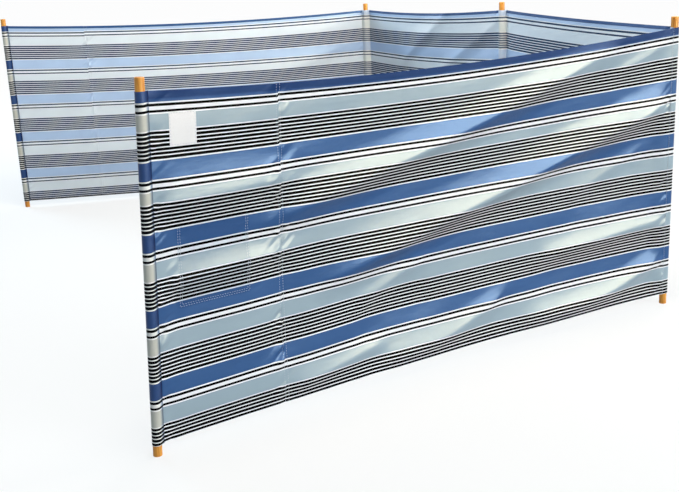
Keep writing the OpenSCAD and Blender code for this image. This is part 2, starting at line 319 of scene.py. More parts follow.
def fold_height(fold, x, y):
    """Outward height of one fold: a slope up to a crest, a steep side and a long slope out of the valley."""
    (x0, y0), (x1, y1) = np.array(fold.start) * MM, np.array(fold.end) * MM
    share = (x - x0) / (x1 - x0)
    held = np.clip(share, 0, 1)
    line = mix(y0, y1, held) + fold.bow * MM * 4 * held * (1 - held)
    slant = math.hypot(x1 - x0, y1 - y0) / abs(x1 - x0)
    below = (y - line) / slant
    half = fold.width * MM / 2
    rise = fold.rise * MM * mix(START_RISE, 1.0, held)
    above = np.clip(1 + np.minimum(below + half, 0) / rise, 0, 1) ** RISE_POWER
    under = smooth(1 - np.maximum(below - half, 0) / (fold.rise * MM * VALLEY_LENGTH))
    fall = 1 - np.clip(0.5 - below / (2 * half), 0, 1) ** FALL_POWER
    ends = smooth((share + FOLD_PAST) / FOLD_FADE) * smooth((1 + FOLD_PAST - share) / FOLD_FADE)
    return fold.side * MM * mix(fold.crest * above, -fold.valley * under, fall) * ends


def pucker(distance, y, seed, size, lean):
    """Short slanting ripples that a row of stitches gathers in the cloth, in clusters along the row."""
    ripple = soft_noise((y - lean * distance) / size.pitch, np.zeros_like(y), seed)
    # Each side of the row has clusters of its own
    noise_row = np.sign(distance) + 4
    cluster = np.clip(CLUSTER_SHARE + soft_noise(y / CLUSTER_LENGTH, noise_row, seed + 1), 0, 1)
    beside = np.abs(distance) / size.reach
    return size.height * ripple * cluster * beside * np.exp(1 - beside)


def cloth_relief(bay, x, y):
    """How far the cloth stands out from its smooth shape, from its folds, its slack and its seams."""
    seed = 100 * BAYS.index(bay.name)
    # On the right wing everything slants the other way
    slant = 1 if bay.name == "right_wing" else -1
    lean = PUCKER_LEAN * slant
    relief = 0.0
    for step, weight in CREST_STEPS:
        relief = relief + weight * sum(fold_height(fold, x, y + step) for fold in FOLDS[bay.name])
    drift_x = x * DRIFT_ALONG + slant * y * DRIFT_DOWN
    drift_y = y * DRIFT_ALONG - slant * x * DRIFT_DOWN
    for number, wave in enumerate(WAVES, 1):
        noise_x = drift_x / wave.length + wave.place[0]
        noise_y = drift_y / wave.width + wave.place[1]
        relief = relief + wave.height * soft_noise(noise_x, noise_y, seed + number)
    near_top = mix(TOP_LEFT, 1.0, smooth(y / TOP_HELD))
    near_bottom = mix(BOTTOM_LEFT, 1.0, smooth((CLOTH_HEIGHT - y) / BOTTOM_HELD))
    from_pole = np.minimum(x - SLEEVE_STITCH, bay.length - SLEEVE_STITCH - x)
    relief = relief * near_top * near_bottom * smooth(from_pole / POLE_HELD)
    for number, seam in enumerate(bay.seams):
        ripples = pucker(x - seam, y, seed + 10 + number, SEAM_PUCKER, lean)
        relief = relief + ripples * smooth(from_pole / SEAM_HELD)
    if bay.join:
        relief = relief + pucker(x - bay.join, y, seed + 20, JOIN_PUCKER, lean)
        relief = relief - JOIN_DIP * np.exp(-((x - bay.join) / JOIN_DIP_REACH) ** 2)
    if bay.name == "right_wing":
        sides, (top, bottom) = patch_range(POCKET)
        held = smooth((y - top) / POCKET_HELD) * smooth((bottom - y) / POCKET_HELD)
        for number, side in enumerate(sides):
            relief = relief + held * pucker(x - side, y, seed + 30 + number, POCKET_PUCKER, lean)
    return relief


def cloth_at(bay, x, y, offset=0.0):
    """Points of a bay's cloth, x from the start pole's axis and y below the top edge.

    Past an inner pole's axis the cloth goes on round the outside of the pole.
    """
    x, y, offset = np.broadcast_arrays(*(np.asarray(value, float) for value in (x, y, offset)))
    share = np.clip(x / bay.length, 0, 1)
    arch = 1 - (2 * share - 1) ** 2
    top = mix(bay.start.top, bay.end.top, share)
    bottom = mix(bay.start.bottom, bay.end.bottom, share)
    level = 1 - y / CLOTH_HEIGHT
    z = mix(bottom, top, level) - bay.sag * arch * level ** bay.hang
    # The folds are laid out by height on the bay, whatever the slack does to the print
    edge = top - bay.sag * arch
    down = CLOTH_HEIGHT * (edge - z) / (edge - bottom)
    starts = 0.0 if bay.start.is_end else WRAP_RADIUS
    ends = 0.0 if bay.end.is_end else WRAP_RADIUS
    low_part = np.clip((down / CLOTH_HEIGHT - BELLY_FROM) / (1 - BELLY_FROM), 0, 1)
    belly = bay.belly * arch * low_part ** BELLY_POWER
    stand = mix(starts, ends, share) - bay.bow * arch + belly + cloth_relief(bay, x, down) + offset
    axis = mix(bay.start.at(z), bay.end.at(z), share[..., None])
    # Round a pole the cloth turns about the axis: back from the start, on past the end
    past = np.where(x < 0, x, np.where(x > bay.length, x - bay.length, 0.0)) / WRAP_RADIUS
    turned = np.cos(past)[..., None] * bay.out + np.sin(past)[..., None] * bay.along
    plan = axis + turned * stand[..., None]
    return np.concatenate([plan, z[..., None]], axis=-1)


def print_at(y, step=0.0):
    """Place in the print's repeat of points y below the top edge. The first two grey bands are cut short."""
    place = y - FIRST_LINE + step
    for number, short in enumerate(GREY_SHORT):
        from_y = number * REPEAT + GREY_FROM
        place = place + short * smooth((place - from_y) / (GREY_TO - GREY_FROM - short))
    return place / REPEAT


# Mesh helpers


def sheet_object(name, outer, inner, uv, materials, tone_and_painted_shade):
    """A thin closed sheet from two grids of points, rows down and columns along, with one material a side.

    The tone given here is painted shade, which darkens the outer side's print.
    """
    rows, columns = outer.shape[:2]
    count = rows * columns
    index = np.arange(count).reshape(rows, columns)
    a, b, c, d = index[:-1, :-1], index[1:, :-1], index[1:, 1:], index[:-1, 1:]
    front = np.stack([a, d, c, b], axis=-1).reshape(-1, 4)
    back = np.stack([a, b, c, d], axis=-1).reshape(-1, 4) + count
    edge = np.concatenate([index[0, :-1], index[:-1, -1], index[-1, :0:-1], index[:0:-1, 0]])
    following = np.roll(edge, -1)
    rim = np.stack([following, edge, edge + count, following + count], axis=-1)
    faces = np.concatenate([front, back, rim])
    mesh = bpy.data.meshes.new(name)
    points = np.concatenate([outer.reshape(-1, 3), inner.reshape(-1, 3)])
    mesh.from_pydata(points.tolist(), [], faces.tolist())
    sides = np.zeros(len(faces), int)
    sides[len(front):len(front) + len(back)] = len(materials) - 1
    mesh.polygons.foreach_set("material_index", sides)
    mesh.polygons.foreach_set("use_smooth", np.ones(len(faces), bool))
    layer = mesh.uv_layers.new(name="Print")
    flat = np.concatenate([uv.reshape(-1, 2)] * 2)
    layer.data.foreach_set("uv", flat[faces.ravel()].ravel())
    shades = mesh.attributes.new("tone_and_painted_shade", "FLOAT", "POINT")
    outer_painted_shade = np.broadcast_to(tone_and_painted_shade, (rows, columns)).ravel()
    shades.data.foreach_set("value", np.append(outer_painted_shade, np.ones(count)))
    for material in materials:
        mesh.materials.append(material)
    mesh.set_sharp_from_angle(angle=SHEET_SHARP)
    return finish_piece(name, mesh)


def finish_piece(name, mesh):
    piece = bpy.data.objects.new(name, mesh)
    bpy.context.scene.collection.objects.link(piece)
    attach(piece, BODY)
    return piece


def steps_between(low, high, fine_at):
    """Places from low to high, close together near the fine places and wider apart elsewhere."""
    places = [low]
    while places[-1] < high:
        near = min((abs(places[-1] - place) for place in fine_at), default=high)
        wide = smooth((near - FINE_REACH / 2) / FINE_REACH)
        places.append(places[-1] + mix(FINE_STEP, COLUMN_STEP, wide))
    places = np.array(places)
    return low + (places - low) * (high - low) / (places[-1] - low)


def cloth_painted_shade(bay, x, y):
    """Painted shade on the outer print: darker in the band along the top edge, and where the pocket lies
    behind it.
    """
    # Painted shade: the doubled cloth is darkened because less light comes through it
    tone_and_painted_shade = mix(TOP_PAINTED_SHADE, 1.0, smooth((y - TOP_PAINTED_SHADE_TO) / TOP_PAINTED_SHADE_FADE))
    if bay.name == "right_wing":
        inside = 1.0
        for place, (low, high) in zip((x, y), patch_range(POCKET)):
            from_edge = np.minimum(place - low, high - place)
            inside = inside * smooth(from_edge / POCKET_PAINTED_SHADE_EDGE)
        tone_and_painted_shade = tone_and_painted_shade * mix(1.0, POCKET_PAINTED_SHADE, inside)
    return tone_and_painted_shade


def patch_range(patch):
    """A patch's places along the right wing and below its top edge."""
    high = bay_named["right_wing"].length - patch["from_pole"]
    return (high - patch["width"], high), (patch["from_top"], patch["from_top"] + patch["height"])


def bay_patch(name, bay, xs, ys, materials, offset=0.0, step=None, lift=None):
    """A piece of cloth that lies on a bay's surface, or at an offset from it."""
    x, y = np.meshgrid(xs, ys)
    rise = offset if lift is None else offset + lift(x, y)
    outer = cloth_at(bay, x, y, rise + CLOTH_THICKNESS / 2)
    inner = cloth_at(bay, x, y, rise - CLOTH_THICKNESS / 2)
    shift = 0.0 if step is None else step(y)
    uv = np.stack([x, print_at(y, shift)], axis=-1)
    return sheet_object(name, outer, inner, uv, materials, cloth_painted_shade(bay, x, y))


def rows_between(low, high, step=ROW_STEP):
    return np.linspace(low, high, max(2, int(round((high - low) / step)) + 1))


# Materials


def new_material(name):
    material = bpy.data.materials.new(name)
    material.use_nodes = True
    nodes, links = material.node_tree.nodes, material.node_tree.links
    return material, nodes, links, nodes["Principled BSDF"]


def math_node(nodes, links, operation, first, second=None):
    node = nodes.new("ShaderNodeMath")
    node.operation = operation
    for socket, value in zip(node.inputs, (first, second)):
        if value is None:
            continue
        if isinstance(value, (int, float)):
            socket.default_value = value
        else:
            links.new(value, socket)
    return node.outputs[0]


def print_stops():
    """The stripes of one repeat, as places from 0 to 1 with the name of the colour that starts there."""
    stops = [(0.0, "black"), (THIN_HALF, "white"), (SECOND_FROM, "black"), (SECOND_TO, "white")]
    stops += [(GREY_FROM, "grey"), (GREY_TO, "white")]
    for number in range(SEVEN_COUNT):
        middle = SEVEN_FIRST + number * SEVEN_PITCH
        stops += [(middle - SEVEN_HALF, "black"), (middle + SEVEN_HALF, "white")]
    stops += [(BLUE_FROM, "blue"), (BLUE_TO, "white"), (REPEAT - THIN_HALF, "black")]
    return [(place / REPEAT, name) for place, name in stops]


def stripe_ramp(nodes, links, repeat, values):
    """A value for each stripe, by the name of its colour."""
    ramp = nodes.new("ShaderNodeValToRGB")
    ramp.color_ramp.interpolation = "CONSTANT"
    elements = ramp.color_ramp.elements
    stops = print_stops()
    for element, (place, name) in zip(elements, stops[:2]):
        element.position, element.color = place, values[name]
    for place, name in stops[2:]:
        elements.new(place).color = values[name]
    links.new(math_node(nodes, links, "FRACT", repeat), ramp.inputs[0])
    return ramp.outputs["Color"]


def cloth_material(name, colours, roughness):
    """Printed satin: stripes from the print's place in UV, a fine weave, small creases and a soft sheen."""
    material, nodes, links, shader = new_material(name)
    uv = nodes.new("ShaderNodeUVMap")
    uv.uv_map = "Print"
    parts = nodes.new("ShaderNodeSeparateXYZ")
    links.new(uv.outputs["UV"], parts.inputs[0])
    along, repeat = parts.outputs["X"], parts.outputs["Y"]
    down = math_node(nodes, links, "MULTIPLY", repeat, REPEAT)
    flat = nodes.new("ShaderNodeCombineXYZ")
    links.new(along, flat.inputs["X"])
    links.new(down, flat.inputs["Y"])

    colour = stripe_ramp(nodes, links, repeat, colours)
    # The attribute read here is painted shade: it darkens the print and dims its gloss
    depth = nodes.new("ShaderNodeAttribute")
    depth.attribute_name = "tone_and_painted_shade"
    gloss = stripe_ramp(nodes, links, repeat, GLOSS)
    gloss = math_node(nodes, links, "MULTIPLY", gloss, depth.outputs["Fac"])
    links.new(gloss, shader.inputs["Specular IOR Level"])
    links.new(stripe_ramp(nodes, links, repeat, LUSTRE), shader.inputs["Metallic"])

    cloud = nodes.new("ShaderNodeTexNoise")
    cloud.inputs["Scale"].default_value = 9.0
    cloud.inputs["Detail"].default_value = 4.0
    links.new(flat.outputs[0], cloud.inputs["Vector"])
    tone_and_painted_shade = nodes.new("ShaderNodeMapRange")
    tone_and_painted_shade.inputs["To Min"].default_value = 0.93
    tone_and_painted_shade.inputs["To Max"].default_value = 1.07
    links.new(cloud.outputs["Fac"], tone_and_painted_shade.inputs["Value"])
    # The painted shade darkens red most and blue least
    shade_channels = nodes.new("ShaderNodeCombineXYZ")
    for axis, power in zip("XYZ", PAINTED_SHADE_POWERS):
        links.new(math_node(nodes, links, "POWER", depth.outputs["Fac"], power), shade_channels.inputs[axis])
    shaded_print = nodes.new("ShaderNodeVectorMath")
    shaded_print.operation = "MULTIPLY"
    links.new(colour, shaded_print.inputs[0])
    links.new(shade_channels.outputs[0], shaded_print.inputs[1])
    shade = nodes.new("ShaderNodeVectorMath")
    shade.operation = "SCALE"
    links.new(shaded_print.outputs[0], shade.inputs[0])
    links.new(tone_and_painted_shade.outputs[0], shade.inputs["Scale"])
    links.new(shade.outputs[0], shader.inputs["Base Color"])

    creases = nodes.new("ShaderNodeTexNoise")
    creases.inputs["Scale"].default_value = 34.0
    creases.inputs["Detail"].default_value = 5.0
    creases.inputs["Roughness"].default_value = 0.55
    links.new(flat.outputs[0], creases.inputs["Vector"])
    crease_bump = nodes.new("ShaderNodeBump")
    crease_bump.inputs["Strength"].default_value = 0.25
    crease_bump.inputs["Distance"].default_value = 0.004
    links.new(creases.outputs["Fac"], crease_bump.inputs["Height"])

    turns = 2 * math.pi / WEAVE_PITCH
    warp = math_node(nodes, links, "SINE", math_node(nodes, links, "MULTIPLY", along, turns))
    weft = math_node(nodes, links, "SINE", math_node(nodes, links, "MULTIPLY", down, turns))
    weave = math_node(nodes, links, "MULTIPLY", warp, weft)
    weave_bump = nodes.new("ShaderNodeBump")
    weave_bump.inputs["Strength"].default_value = 0.18
    weave_bump.inputs["Distance"].default_value = 0.0001
    links.new(weave, weave_bump.inputs["Height"])
    links.new(crease_bump.outputs["Normal"], weave_bump.inputs["Normal"])
    links.new(weave_bump.outputs["Normal"], shader.inputs["Normal"])

    shader.inputs["Roughness"].default_value = roughness
    return material


def plain_cloth_material(name, colour, roughness, scale):
    """A plain woven finish, for thread and the label."""
    material, nodes, links, shader = new_material(name)
    place = nodes.new("ShaderNodeTexCoord")
    noise = nodes.new("ShaderNodeTexNoise")
    noise.inputs["Scale"].default_value = scale
    noise.inputs["Detail"].default_value = 3.0
    links.new(place.outputs["Object"], noise.inputs["Vector"])
    # Painted shade: where the noise is low and the bump is hollow, the colour is darker
    ramp = nodes.new("ShaderNodeValToRGB")
    hollow_shade, bright = ramp.color_ramp.elements
    hollow_shade.color = (*(channel * PLAIN_HOLLOW_SHADE for channel in colour[:3]), 1)
    bright.color = colour
    hollow_shade.position, bright.position = 0.3, 0.6
    links.new(noise.outputs["Fac"], ramp.inputs[0])
    links.new(ramp.outputs[0], shader.inputs["Base Color"])
    bump = nodes.new("ShaderNodeBump")
    bump.inputs["Strength"].default_value = 0.2
    bump.inputs["Distance"].default_value = 0.0003
    links.new(noise.outputs["Fac"], bump.inputs["Height"])
    links.new(bump.outputs[0], shader.inputs["Normal"])
    shader.inputs["Roughness"].default_value = roughness
    return material


def wood_material():
    """Varnished softwood: long grain along the pole, with darker streaks and fine pores."""
    material, nodes, links, shader = new_material("varnished_wood")
    place = nodes.new("ShaderNodeTexCoord")
    stretch = nodes.new("ShaderNodeMapping")
    stretch.inputs["Scale"].default_value = (1.0, 1.0, 0.05)
    links.new(place.outputs["Object"], stretch.inputs["Vector"])
    grain = nodes.new("ShaderNodeTexNoise")
    grain.inputs["Scale"].default_value = 160.0
    grain.inputs["Detail"].default_value = 6.0
    grain.inputs["Distortion"].default_value = 0.4
    links.new(stretch.outputs[0], grain.inputs["Vector"])
    ramp = nodes.new("ShaderNodeValToRGB")
    dark, light = ramp.color_ramp.elements
    dark.color, light.color = WOOD_DARK, WOOD_LIGHT
    dark.position, light.position = 0.36, 0.62
    links.new(grain.outputs["Fac"], ramp.inputs[0])
    links.new(ramp.outputs[0], shader.inputs["Base Color"])
    rough = nodes.new("ShaderNodeMapRange")
    rough.inputs["To Min"].default_value = 0.38
    rough.inputs["To Max"].default_value = 0.55
    links.new(grain.outputs["Fac"], rough.inputs["Value"])
    links.new(rough.outputs[0], shader.inputs["Roughness"])
    bump = nodes.new("ShaderNodeBump")
    bump.inputs["Strength"].default_value = 0.15
    bump.inputs["Distance"].default_value = 0.0006
    links.new(grain.outputs["Fac"], bump.inputs["Height"])
    links.new(bump.outputs[0], shader.inputs["Normal"])
    return material


outer_cloth = cloth_material("striped_cloth_outside", OUTER_PRINT, roughness=0.29)
inner_cloth = cloth_material("striped_cloth_inside", INNER_PRINT, roughness=0.42)
strip_cloth = cloth_material("striped_cloth_doubled", STRIP_PRINT, roughness=0.42)
loop_cloth = cloth_material("striped_cloth_loops_painted_light", LOOP_PRINT_WITH_PAINTED_LIGHT, roughness=0.4)
thread = plain_cloth_material("thread", THREAD, roughness=0.6, scale=900.0)
hem_thread = plain_cloth_material("hem_thread", HEM_THREAD, roughness=0.6, scale=900.0)
label_cloth = plain_cloth_material("label_cloth", LABEL_WHITE, roughness=0.55, scale=700.0)
wood = wood_material()


# Poles: the model's own, with a grained finish

POLE_SHARP = math.radians(40)
for name in POLES:
    node = frame["nodes"][name + "_pole"]
    node.data.materials.clear()
    node.data.materials.append(wood)
    node.data.shade_smooth()
    node.data.set_sharp_from_angle(angle=POLE_SHARP)


# Cloth: six pieces, which meet on the outside of the inner poles and at the joins

whole_height = rows_between(0, CLOTH_HEIGHT)


def half_turn(before, after):
    """Half the length of cloth that lies round an inner pole between two bays."""
    cosine = float(np.clip(before.along @ after.along, -1, 1))
    return WRAP_RADIUS * math.acos(cosine) / 2


def bay_ends(index):
    """Where a bay's cloth starts and ends: half-way round an inner pole, or at an end pole's seam."""
    bay = bays[index]
    start = END_SEAM if bay.start.is_end else -half_turn(bays[index - 1], bay)
    end = bay.length - END_SEAM if bay.end.is_end else bay.length + half_turn(bay, bays[index + 1])
    return start, end


def join_step(y):
    """The end pieces' print sits a little lower than the rest, most at the top."""
    return -JOIN_STEP * (1 - y / CLOTH_HEIGHT)


def make_cloth(node, bay, low, high, step=None):
    """One piece of a bay's cloth, from low to high along the bay."""
    fine = [0, bay.length, *bay.seams]
    if bay.join:
        fine.append(bay.join)
    if bay.name == "right_wing":
        fine += patch_range(POCKET)[0]
    columns = steps_between(low, high, fine)
    piece = bay_patch(node + "_fabric", bay, columns, whole_height, [outer_cloth, inner_cloth], step=step)
    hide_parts(node)


for index, bay in enumerate(bays):
    low, high = bay_ends(index)
    if bay.name == "left_wing":
        make_cloth("left_wing_end_cloth", bay, low, bay.join, join_step)
        make_cloth("left_wing_cloth", bay, bay.join, high)
    elif bay.name == "right_wing":
        make_cloth("right_wing_cloth", bay, low, bay.join)
        make_cloth("right_wing_end_cloth", bay, bay.join, high, join_step)
    else:
        make_cloth(bay.name + "_cloth", bay, low, high)


# Sleeves: loops at the end poles, strips on the sheltered side of the others


def heading(angle):
    return np.stack([np.cos(angle), np.sin(angle)], axis=-1)


def turn_between(first, last):
    """The turn from one angle to another, the shorter way."""
    return (last - first + math.pi) % (2 * math.pi) - math.pi


def round_pole(first, last, radius, middle):
    """A path in plan from point to point that goes taut round a circle, on the side of the middle angle."""
    turns = []
    for point in (first, last):
        away = math.atan2(point[1], point[0])
        reach = math.acos(radius / math.hypot(*point))
        turns.append(min(turn_between(middle, away - reach), turn_between(middle, away + reach), key=abs))
    arc = radius * heading(middle + np.linspace(*turns, ARC_POINTS))
    shares = np.linspace(0, 1, LEAD_POINTS)[:, None]
    lead = mix(np.array(first)[None], arc[:1], shares[:-1])
    trail = mix(arc[-1:], np.array(last)[None], shares[1:])
    return np.concatenate([lead, arc, trail])


def make_sleeve(pole, path, materials, puff, step=None):
    """A strip of cloth along a plan path round a pole, with small puckers down its length."""
    y = whole_height
    z = mix(pole.top, pole.bottom, y / CLOTH_HEIGHT)
    lengths = np.concatenate([[0], np.cumsum(np.linalg.norm(np.diff(path, axis=0), axis=1))])
    tangent = np.gradient(path, axis=0)
    normal = np.stack([-tangent[:, 1], tangent[:, 0]], axis=-1) / np.linalg.norm(tangent, axis=1)[:, None]
    free = np.sqrt(np.clip(np.sin(np.pi * lengths / lengths[-1]), 0, 1))
    place, down = np.meshgrid(lengths, y)
    noise = soft_noise(place / RIPPLE_WIDTH, down / RIPPLE_HEIGHT, RIPPLE_SEED + POLES.index(pole.name))
    ripple = puff * free * (0.5 + 0.5 * noise)
    heights = np.broadcast_to(z[:, None, None], place.shape + (1,))
    layers = []
    for offset in (CLOTH_THICKNESS / 2, -CLOTH_THICKNESS / 2):
        plan = pole.at(z)[:, None, :] + path[None] + normal[None] * (ripple + offset)[..., None]
        layers.append(np.concatenate([plan, heights], axis=-1))
    shift = 0.0 if step is None else step(down)
    uv = np.stack([place, print_at(down, shift)], axis=-1)
    node = pole.name + "_sleeve"
    # Painted shade: the loops darken towards both ends of their path, in the creases beside the cloth
    crease = np.minimum(place, lengths[-1] - place)
    tone_and_painted_shade = mix(CREASE_PAINTED_SHADE, 1.0, smooth(crease / CREASE_WIDTH)) if pole.is_end else 1.0
    piece = sheet_object(node + "_fabric", layers[0], layers[1], uv, materials, tone_and_painted_shade)
    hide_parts(node)
    return piece, float(lengths[-1])


for number, pole in enumerate(poles):
    if pole.is_end:
        bay = bays[0] if number == 0 else bays[-1]
        towards = bay.along if number == 0 else -bay.along
        seam = towards * END_SEAM
        gap = bay.out * CLOTH_THICKNESS
        away = math.atan2(-towards[1], -towards[0])
        path = round_pole(seam - gap, seam + gap, LOOP_RADIUS, away)
        path = path if number == 0 else path[::-1]
        make_sleeve(pole, path, [loop_cloth, inner_cloth], LOOP_PUFF, join_step)
    else:
        before, after = bays[number - 1], bays[number]
        inside = -(before.out + after.out)
        middle = math.atan2(inside[1], inside[0])
        under = WRAP_RADIUS - LAYER
        edge = SLEEVE_STITCH + STRIP_MARGIN
        first = -before.along * edge + before.out * under
        last = after.along * edge + after.out * under
        path = round_pole(first, last, STRIP_RADIUS, middle)
        make_sleeve(pole, path, [outer_cloth, strip_cloth], STRIP_PUFF)


# Hems and join laps, on the sheltered side


def make_hem(node, bay, columns, rows, cloth):
    """A strip on the sheltered side of a bay's cloth."""
    piece = bay_patch(node + "_fabric", bay, columns, rows, [cloth, cloth], offset=-LAYER)
    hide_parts(node)


def sewn_between(bay):
    """Where a bay's cloth is sewn beside its two poles."""
    low = END_SEAM if bay.start.is_end else SLEEVE_STITCH
    high = bay.length - (END_SEAM if bay.end.is_end else SLEEVE_STITCH)
    return low, high


for bay in bays:
    low, high = sewn_between(bay)
    columns = steps_between(low, high, [low, high] + ([bay.join] if bay.join else []))
    for edge, from_y in (("top", 0), ("bottom", CLOTH_HEIGHT - HEM_HEIGHT)):
        rows = rows_between(from_y, from_y + HEM_HEIGHT, HEM_STEP)
        make_hem(f"{bay.name}_{edge}_hem", bay, columns, rows, outer_cloth)
    if bay.join:
        columns = np.linspace(bay.join - JOIN_WIDTH / 2, bay.join + JOIN_WIDTH / 2, JOIN_COLUMNS)
        rows = rows_between(HEM_HEIGHT, CLOTH_HEIGHT - HEM_HEIGHT)
        make_hem(bay.name + "_join", bay, columns, rows, inner_cloth)


# The bare label, and the flat pocket on the sheltered side of the right wing

wing = bay_named["right_wing"]

(label_low, label_high), (label_top, label_bottom) = patch_range(LABEL)
label = bay_patch(
    "label_patch_fabric", wing,
    np.linspace(label_low, label_high, LABEL_POINTS), np.linspace(label_top, label_bottom, LABEL_POINTS),
    [label_cloth, label_cloth], offset=LAYER,
)
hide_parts("label_patch")

(pocket_low, pocket_high), (pocket_top, pocket_bottom) = patch_range(POCKET)


def pocket_slack(x, y):
    """The pocket hangs a little open at its mouth and is held flat along its other sides."""
    across = (x - pocket_low) / (pocket_high - pocket_low)
    up = (pocket_bottom - y) / (pocket_bottom - pocket_top)
    return -POCKET_SLACK * np.sin(np.pi * across) ** 2 * smooth(up)


pocket = bay_patch(
    "pocket_panel_fabric", wing,
    np.linspace(pocket_low, pocket_high, POCKET_COLUMNS), np.linspace(pocket_top, pocket_bottom, POCKET_ROWS),
    [inner_cloth, outer_cloth], offset=-LAYER, lift=pocket_slack,
)
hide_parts("pocket_panel")


# Stitches

STITCH_LENGTH, STITCH_GAP, STITCH_RADIUS = 5 * MM, 2.4 * MM, 0.55 * MM
# Where a row's first stitch starts, as a share of one stitch and its gap
STITCH_START = 0.15
# Where a stitch is thickest along its length, and how deep its lower side is beside the upper one
STITCH_SHOULDERS, STITCH_UNDER = (0.2, 0.8), 0.4
# How far inside the edges the pocket's two rows and the label's row run
POCKET_INSETS, LABEL_INSET = (4 * MM, 10 * MM), 3 * MM
# How far the sheltered side's stitches stand off over a lap of cloth
LAP_DEPTH = LAYER + CLOTH_THICKNESS / 2


def stitch_row(bay, from_point, to_point, side, depth=0.0):
    """Ends of the stitches along a straight row on a bay's cloth, on side 1 outside or side -1 sheltered."""
    from_point, to_point = np.array(from_point), np.array(to_point)
    length = float(np.linalg.norm(to_point - from_point))
    count = int(length / (STITCH_LENGTH + STITCH_GAP))
    starts = (np.arange(count) + STITCH_START) / count
    ends = starts + STITCH_LENGTH / length
    offset = side * (CLOTH_THICKNESS / 2 + depth)
    pair = []
    for share in (starts, ends):
        at = mix(from_point[None], to_point[None], share[:, None])
        pair.append(cloth_at(bay, at[:, 0], at[:, 1], offset))
    normal = np.broadcast_to(np.append(bay.out * side, 0.0), pair[0].shape)
    return pair[0], pair[1], normal


def stitches_object(name, rows, material):
    """Small spindles of thread, one for each stitch of the given rows."""
    first = np.concatenate([row[0] for row in rows])
    last = np.concatenate([row[1] for row in rows])
    normal = np.concatenate([row[2] for row in rows])
    run = last - first
    run = run / np.linalg.norm(run, axis=1)[:, None]
    side = np.cross(run, normal)
    rings = []
    for share in STITCH_SHOULDERS:
        middle = mix(first, last, share)
        rings += [middle + side * STITCH_RADIUS, middle + normal * STITCH_RADIUS]
        rings += [middle - side * STITCH_RADIUS, middle - normal * STITCH_RADIUS * STITCH_UNDER]
    points = np.stack([first, *rings, last], axis=1)
    shape = []
    for corner in range(4):
        after = (corner + 1) % 4
        shape.append((0, 1 + after, 1 + corner))
        shape.append((1 + corner, 1 + after, 5 + after))
        shape.append((1 + corner, 5 + after, 5 + corner))
        shape.append((9, 5 + corner, 5 + after))
    faces = (np.arange(len(first))[:, None, None] * points.shape[1] + np.array(shape)[None]).reshape(-1, 3)
    mesh = bpy.data.meshes.new(name)
    mesh.from_pydata(points.reshape(-1, 3).tolist(), [], faces.tolist())
    mesh.materials.append(material)
    mesh.shade_smooth()
    piece = finish_piece(name, mesh)
    return piece


def both_sides(bay, from_point, to_point, inner_depth):
    """A row of stitches as it shows on both sides of the cloth."""
    return [stitch_row(bay, from_point, to_point, 1), stitch_row(bay, from_point, to_point, -1, inner_depth)]


for bay in bays:
    low, high = sewn_between(bay)
    hem_rows = []
    for y in (HEM_STITCH, CLOTH_HEIGHT - HEM_STITCH):
        hem_rows.append(stitch_row(bay, (low, y), (high, y), -1, LAP_DEPTH))
    stitches_object(bay.name + "_hem_stitches", hem_rows, hem_thread)
    rows = []
    for x in (low, high):
        rows += both_sides(bay, (x, 0), (x, CLOTH_HEIGHT), LAYER)
    if bay.join:
        for x in (bay.join - JOIN_STITCH, bay.join + JOIN_STITCH):
            rows += both_sides(bay, (x, 0), (x, CLOTH_HEIGHT), LAP_DEPTH)
    stitches_object(bay.name + "_stitches", rows, thread)

pocket_rows = []
for inset in POCKET_INSETS:
    left, right, base = pocket_low + inset, pocket_high - inset, pocket_bottom - inset
    turns = [(left, pocket_top), (left, base), (right, base), (right, pocket_top)]
    for start, stop in zip(turns, turns[1:]):
        pocket_rows += both_sides(wing, start, stop, LAP_DEPTH)
pocket_stitches = stitches_object("pocket_stitches", pocket_rows, thread)

left, right = label_low + LABEL_INSET, label_high - LABEL_INSET
top, base = label_top + LABEL_INSET, label_bottom - LABEL_INSET
turns = [(left, top), (right, top), (right, base), (left, base), (left, top)]
label_rows = [stitch_row(wing, start, stop, 1, LAYER) for start, stop in zip(turns, turns[1:])]
label_stitches = stitches_object("label_stitches", label_rows, thread)


# Floor, light and camera

scene = bpy.context.scene
scene.view_settings.view_transform = "Standard"

FLOOR_HALF = 40.0
# The floor's shade as the camera sees it, and as it throws light back on the cloth
FLOOR_SEEN, FLOOR_BOUNCE = even(0.9), even(0.22)
# The share of plain white in what the camera sees, by distance from the origin: less near, for the shadow
WHITE_NEAR, WHITE_NEAR_SHARE = 2.4, 0.65
WHITE_FAR, WHITE_FAR_SHARE = 5.5, 0.97
floor_mesh = bpy.data.meshes.new("floor")
floor_corners = [(-1, -1), (1, -1), (1, 1), (-1, 1)]
floor_mesh.from_pydata([(x * FLOOR_HALF, y * FLOOR_HALF, 0) for x, y in floor_corners], [], [(0, 1, 2, 3)])
floor = bpy.data.objects.new("floor", floor_mesh)
scene.collection.objects.link(floor)


def seen_by(nodes, links):
    """1 for what the camera sees, in mirrors and through glass too, and 0 for light that falls on things."""
    rays = nodes.new("ShaderNodeLightPath").outputs
    mirrored = math_node(nodes, links, "MAXIMUM", rays["Is Glossy Ray"], rays["Is Transmission Ray"])
    return math_node(nodes, links, "MAXIMUM", rays["Is Camera Ray"], mirrored)


